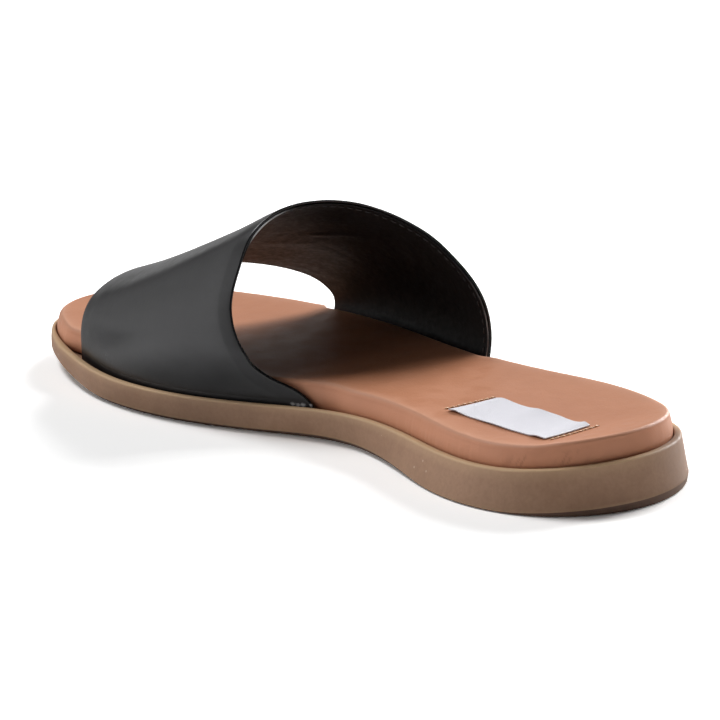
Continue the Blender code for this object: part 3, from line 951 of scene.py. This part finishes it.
# --------------------------------------------------------------- the threads
def stitch(shell, start, end, up, width, sag=0.35, hole=0.0):
    """One stitch from hole to hole: a thread that rises out of the leather."""
    start, end, up = (np.asarray(v, float) for v in (start, end, up))
    along = end - start
    length = np.linalg.norm(along)
    along /= length
    side = np.cross(up, along)
    rings = []
    for t in np.linspace(0, 1, 9):
        lift = math.sin(math.pi * t) ** 0.6 * width * 0.55 - width * sag
        r = width / 2 * (0.55 + 0.45 * math.sin(math.pi * t) ** 0.5)
        twist = 0.06 * width * math.sin(2 * math.pi * 2.0 * t)
        c = start + along * length * t + up * lift + side * twist
        a = np.linspace(0, 2 * math.pi, 8, endpoint=False)
        rings.append(c + r * (np.cos(a)[:, None] * side + 0.85 * np.sin(a)[:, None] * up))
    index = shell.add(np.stack(rings), hole=hole)
    shell.quads(index, close_columns=True)
    shell.face(*index[0][::-1])
    shell.face(*index[-1])


def walk(line, pitch, first=0.0):
    """Running length at each point of a polyline, and places along it every `pitch` mm from `first`."""
    run = np.r_[0, np.cumsum(np.linalg.norm(np.diff(line, axis=0), axis=1))]
    return run, np.arange(first, run[-1] - pitch, pitch)


def make_lining_seam(grid, back, normal, material):
    """The seam that holds the lining, just inside the rear edge."""
    rows = []
    for i in range(len(grid.over)):
        j = int(np.argmin(np.abs(grid.from_rear[i] - (STITCH_INSET - LINING_INSET))
                          + 100 * (grid.from_front[i] < 20)))
        lo, hi = max(j - 1, 0), min(j + 1, back.shape[1] - 1)
        d = grid.from_rear[i, lo:hi + 1]
        order = np.argsort(d)
        at = np.array([np.interp(STITCH_INSET - LINING_INSET, d[order], back[i, lo:hi + 1, k][order])
                       for k in range(3)])
        if grid.rise[i, j] > 2.0:
            rows.append((at, -normal[i, j]))
    line = np.array([r[0] for r in rows])
    up = np.array([r[1] for r in rows])
    run, places = walk(line, STITCH_PITCH, 0.8)
    shell = Shell()
    for s in places:
        a = np.array([np.interp(s, run, line[:, k]) for k in range(3)])
        b = np.array([np.interp(s + STITCH_LENGTH, run, line[:, k]) for k in range(3)])
        n = np.array([np.interp(s + STITCH_LENGTH / 2, run, up[:, k]) for k in range(3)])
        stitch(shell, a, b, n / np.linalg.norm(n), STITCH_WIDTH)
    return shell.finish("lining_seam", material)


# ----------------------------------------------------------------- the label
LABEL_CORNERS = {  # on the footbed, seen from above (mm)
    "front_inner": (18.25, 60.3), "front_outer": (-0.4, 61.8),
    "back_outer": (3.5, 103.6), "back_inner": (21.8, 103.5),
}
Lift = namedtuple("Lift", "along inner outer")
LABEL_LIFT = [  # how far its long edges stand off the footbed (mm)
    Lift(0.00, 0.15, 0.10), Lift(0.07, 0.60, 0.55), Lift(0.12, 0.35, 0.45), Lift(0.20, 0.06, 0.16),
    Lift(0.35, 0.12, 0.10), Lift(0.47, 0.15, 0.62), Lift(0.57, 0.15, 0.50), Lift(0.68, 0.08, 0.42),
    Lift(0.78, 0.05, 0.12), Lift(0.85, 0.10, 0.06), Lift(0.90, 0.42, 0.30), Lift(0.95, 0.32, 0.72),
    Lift(1.00, 0.15, 0.05),
]


def make_label(pad, material, thread):
    tree = BVHTree.FromObject(pad, bpy.context.evaluated_depsgraph_get())

    def height(x, y):
        hit = tree.ray_cast(Vector((x * MM, y * MM, 0.08)), Vector((0, 0, -1)))
        return hit[0].z / MM

    across, along = 28, 60
    c = {k: np.array(v) for k, v in LABEL_CORNERS.items()}
    shell = Shell()
    upper, under, uv = [], [], []
    for j in range(along + 1):
        t = j / along
        low, high = [], []
        for i in range(across + 1):
            s = i / across
            p = ((1 - t) * ((1 - s) * c["front_inner"] + s * c["front_outer"])
                 + t * ((1 - s) * c["back_inner"] + s * c["back_outer"]))
            # the two sewn ends lie down, the long edges lift in low waves
            held = math.sin(math.pi * t) ** 0.7 if 0 < t < 1 else 0.0
            edge_in, edge_out = (1 - s) ** 2.2, s ** 2.2
            lift = (edge_in * float(read(LABEL_LIFT, "inner", t)) + edge_out * float(read(LABEL_LIFT, "outer", t))
                    + 0.12 * held * (1 + math.sin(7.0 * t + 1.0)) * (1 - edge_in - edge_out))
            z = height(*p) + 0.10 + max(lift, 0.0)
            low.append((p[0], p[1], z))
            high.append((p[0], p[1], z + LABEL_THICK))
            uv.append((s * LABEL_WIDTH * MM, t * LABEL_LENGTH * MM))
        under.append(low)
        upper.append(high)
    a = shell.add(np.array(upper))
    b = shell.add(np.array(under))
    shell.quads(a)
    shell.quads(b, flip=True)
    ring_a = np.concatenate([a[0, :-1], a[:-1, -1], a[-1, :0:-1], a[:0:-1, 0]])
    ring_b = np.concatenate([b[0, :-1], b[:-1, -1], b[-1, :0:-1], b[:0:-1, 0]])
    shell.quads(np.stack([ring_b, ring_a]), close_columns=True)
    label = shell.finish("woven_label", material, 50)
    layer = label.data.uv_layers.new(name="cloth")
    flat = np.array(uv + uv)
    corner_vert = np.empty(len(label.data.loops), int)
    label.data.loops.foreach_get("vertex_index", corner_vert)
    layer.data.foreach_set("uv", flat[corner_vert].astype(np.float32).ravel())

    # tan thread rows hold the two short ends and run a little past them
    seam = Shell()
    rows = [((17.9, 58.3), (-1.2, 60.0)), ((21.6, 105.1), (2.3, 105.9))]
    for (x0, y0), (x1, y1) in rows:
        length = math.hypot(x1 - x0, y1 - y0)
        dx, dy = (x1 - x0) / length, (y1 - y0) / length
        s = 0.2
        while s + 1.5 < length:
            # each stitch is followed by a short sunk piece coloured dark: painted shade of the needle hole
            for first, last, width, sunk in ((0.0, 1.7, 0.56, 0.0), (1.66, 2.16, 0.28, 1.0)):
                pa = (x0 + dx * (s + first), y0 + dy * (s + first))
                pb = (x0 + dx * (s + last), y0 + dy * (s + last))
                lift = 0.14 - 0.08 * sunk
                stitch(seam, (*pa, height(*pa) + lift), (*pb, height(*pb) + lift), (0, 0, 1), width, hole=sunk)
            s += 2.15
    threads = seam.finish("label_threads", thread)
    return label, threads


# ------------------------------------------------------------ camera, lights
def make_camera():
    azimuth, elevation, roll = (math.radians(v) for v in (137.693, 16.143, -1.682))
    reach, target = 1.17013, Vector((-0.017529, -0.016568, 0.00975))
    back = Vector((math.sin(azimuth) * math.cos(elevation),
                   -math.cos(azimuth) * math.cos(elevation), math.sin(elevation)))
    right = Vector((math.cos(azimuth), math.sin(azimuth), 0))
    up = back.cross(right)
    r = math.cos(roll) * right + math.sin(roll) * up
    u = -math.sin(roll) * right + math.cos(roll) * up
    at = target + reach * back
    camera = bpy.data.objects.new("camera", bpy.data.cameras.new("camera"))
    camera.matrix_world = Matrix(((r.x, u.x, back.x, at.x), (r.y, u.y, back.y, at.y),
                                  (r.z, u.z, back.z, at.z), (0, 0, 0, 1)))
    camera.data.sensor_width = 36.0
    camera.data.lens = 186.56
    camera.data.clip_start, camera.data.clip_end = 0.01, 100.0
    bpy.context.scene.collection.objects.link(camera)
    bpy.context.scene.camera = camera


Lamp = namedtuple("Lamp", "name azimuth elevation spread power")
LAMPS = [  # degrees, azimuth from the toe towards the inner side
    Lamp("key", 2, 54, 22, 1.7),
    Lamp("side", 279, 21, 42, 5.6),
    Lamp("back", 186, 28, 30, 0.12),
]
PANEL = (70, 6)  # the pale panel beside the toe: its brightest azimuth and elevation
PANEL_LIGHT = 1.8
PANEL_FALL = 1.5  # power of the cosine by which it dims away from there
PANEL_END = (0, 0.0, 0.2)  # it ends square to this azimuth, over this step of cosine
PANEL_TOP = (0.45, 0.75)  # and ends upwards between these heights (sine)
GLOW = (-40, 2)  # a weaker glow beyond the toe
GLOW_EDGE = (0.86, 0.97)
GLOW_LIGHT = 0.62
DIM = 0.03
FLOOR_BOUNCE = 0.95
# for bounce rays only: a painted pool of light on the inner side, painted shadows by the ball and toe
FLOOR_INNER, FLOOR_BALL, FLOOR_TOE = 1.38, 0.50, 0.45  # its bounce beside the shoe
FLOOR_WHITE = 1.4


def toward(azimuth, elevation):
    a, e = math.radians(azimuth), math.radians(elevation)
    return Vector((math.sin(a) * math.cos(e), -math.cos(a) * math.cos(e), math.sin(e)))


def make_stage():
    bm = bmesh.new()
    bmesh.ops.create_grid(bm, x_segments=2, y_segments=2, size=12.0)
    mesh = bpy.data.meshes.new("floor")
    bm.to_mesh(mesh)
    bm.free()
    floor = bpy.data.objects.new("floor", mesh)
    floor.location.z = -0.0001
    bpy.context.scene.collection.objects.link(floor)
    f = Finish("pale_floor")
    tint = f.span(f.noise(900, 2), 0.3, 0.7)
    soft = f.mix(tint, (FLOOR_BOUNCE,) * 3, (FLOOR_BOUNCE * 1.02,) * 3)
    axes = f.node("ShaderNodeSeparateXYZ")
    f.put(axes.inputs[0], f.place)
    across, along = axes.outputs["X"], axes.outputs["Y"]
    slant = f.sum(f.sum(f.sum(across, -0.03), 0.766, "MULTIPLY"),
                  f.sum(f.sum(along, 0.08), 0.643, "MULTIPLY"))

    def zone(*steps):
        total = 1.0
        for axis, a, b in steps:
            total = f.sum(f.span(axis, min(a, b), max(a, b), float(a > b), float(a < b)), total, "MULTIPLY")
        return total

    # painted light and shadow on the floor, seen only in reflections and bounce light
    for grey, share in ((FLOOR_INNER, zone((across, 0.062, 0.090), (along, 0.01, -0.05))),
                        (FLOOR_BALL, zone((across, 0.074, 0.058), (along, -0.01, -0.03), (along, -0.085, -0.065))),
                        (FLOOR_TOE, zone((slant, 0.050, -0.015), (along, -0.106, -0.135)))):
        soft = f.mix(share, soft, (grey,) * 3)
    white = f.mix(tint, (FLOOR_WHITE,) * 3, (FLOOR_WHITE * 1.02,) * 3)
    seen = f.node("ShaderNodeLightPath").outputs["Is Camera Ray"]
    matt = f.node("ShaderNodeBsdfDiffuse")
    f.put(matt.inputs["Color"], f.mix(seen, soft, white))
    f.put(f.tree.nodes["Material Output"].inputs["Surface"], matt.outputs["BSDF"])
    mesh.materials.append(f.material)


def make_light():
    """A soft key high on the toe side, a low broad light on the outer side and
    a pale panel beside the toe; the heel side is dim."""
    world = bpy.data.worlds.new("studio")
    bpy.context.scene.world = world
    world.use_nodes = True
    tree = world.node_tree
    sky = tree.nodes["Background"]
    sky.inputs["Color"].default_value = (1.0, 1.0, 1.0, 1.0)
    place = tree.nodes.new("ShaderNodeTexCoord").outputs["Generated"]

    def along(direction):
        way = tree.nodes.new("ShaderNodeVectorMath")
        way.operation = "DOT_PRODUCT"
        way.inputs[1].default_value = direction
        tree.links.new(place, way.inputs[0])
        return way.outputs["Value"]

    def step(source, low, high, out_low, out_high):
        share = tree.nodes.new("ShaderNodeMapRange")
        share.interpolation_type = "SMOOTHSTEP"
        for key, v in zip(("From Min", "From Max", "To Min", "To Max"), (low, high, out_low, out_high)):
            share.inputs[key].default_value = v
        tree.links.new(source, share.inputs["Value"])
        return share.outputs["Result"]

    def math_node(kind, first, second):
        n = tree.nodes.new("ShaderNodeMath")
        n.operation = kind
        for socket, v in zip(n.inputs, (first, second)):
            if isinstance(v, bpy.types.NodeSocket):
                tree.links.new(v, socket)
            else:
                socket.default_value = v
        return n.outputs[0]

    panel = math_node("POWER", math_node("MAXIMUM", along(toward(*PANEL)), 0.0), PANEL_FALL)
    panel = math_node("MULTIPLY", panel, step(along(toward(PANEL_END[0], 0)), *PANEL_END[1:], 0.0, PANEL_LIGHT))
    panel = math_node("MULTIPLY", panel, step(along((0, 0, 1)), *PANEL_TOP, 1.0, 0.0))
    glow = step(along(toward(*GLOW)), *GLOW_EDGE, DIM, GLOW_LIGHT)
    tree.links.new(math_node("ADD", panel, glow), sky.inputs["Strength"])
    seen = tree.nodes.new("ShaderNodeBackground")
    seen.inputs["Color"].default_value = (1.0, 1.0, 1.0, 1.0)
    seen.inputs["Strength"].default_value = 1.1
    pick = tree.nodes.new("ShaderNodeMixShader")
    tree.links.new(tree.nodes.new("ShaderNodeLightPath").outputs["Is Camera Ray"], pick.inputs[0])
    tree.links.new(sky.outputs[0], pick.inputs[1])
    tree.links.new(seen.outputs[0], pick.inputs[2])
    tree.links.new(pick.outputs[0], tree.nodes["World Output"].inputs["Surface"])

    for row in LAMPS:
        sun = bpy.data.lights.new(row.name, "SUN")
        sun.energy = row.power
        sun.angle = math.radians(row.spread)
        lamp = bpy.data.objects.new(row.name, sun)
        lamp.rotation_euler = (-toward(row.azimuth, row.elevation)).to_track_quat("-Z", "Y").to_euler()
        bpy.context.scene.collection.objects.link(lamp)
    bpy.context.scene.view_settings.view_transform = "Standard"
    bpy.context.scene.view_settings.look = "None"


# -------------------------------------------------------------- putting it up
make_camera()
make_stage()
make_light()
sole = make_sole(sole_finish())
pad = make_pad(pad_finish())
outer, inner, lining_grid, lining_back, lining_normal = make_band(leather_finish(), lining_finish())
seam = make_lining_seam(lining_grid, lining_back, lining_normal,
                        thread_finish("grey_thread", (0.018, 0.018, 0.019), (0.046, 0.045, 0.046), 0.45))
label, threads = make_label(pad, label_finish(),
                            thread_finish("tan_thread", (0.60, 0.33, 0.17), (0.85, 0.58, 0.34), 0.5))

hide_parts("outsole")
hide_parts("footbed")
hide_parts("upper_band")
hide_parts("upper_band")
for piece, slot in ((sole, "sole"), (pad, "footbed"), (outer, "band"), (inner, "band"),
                    (seam, "band"), (label, "footbed"), (threads, "footbed")):
    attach(piece, "root")
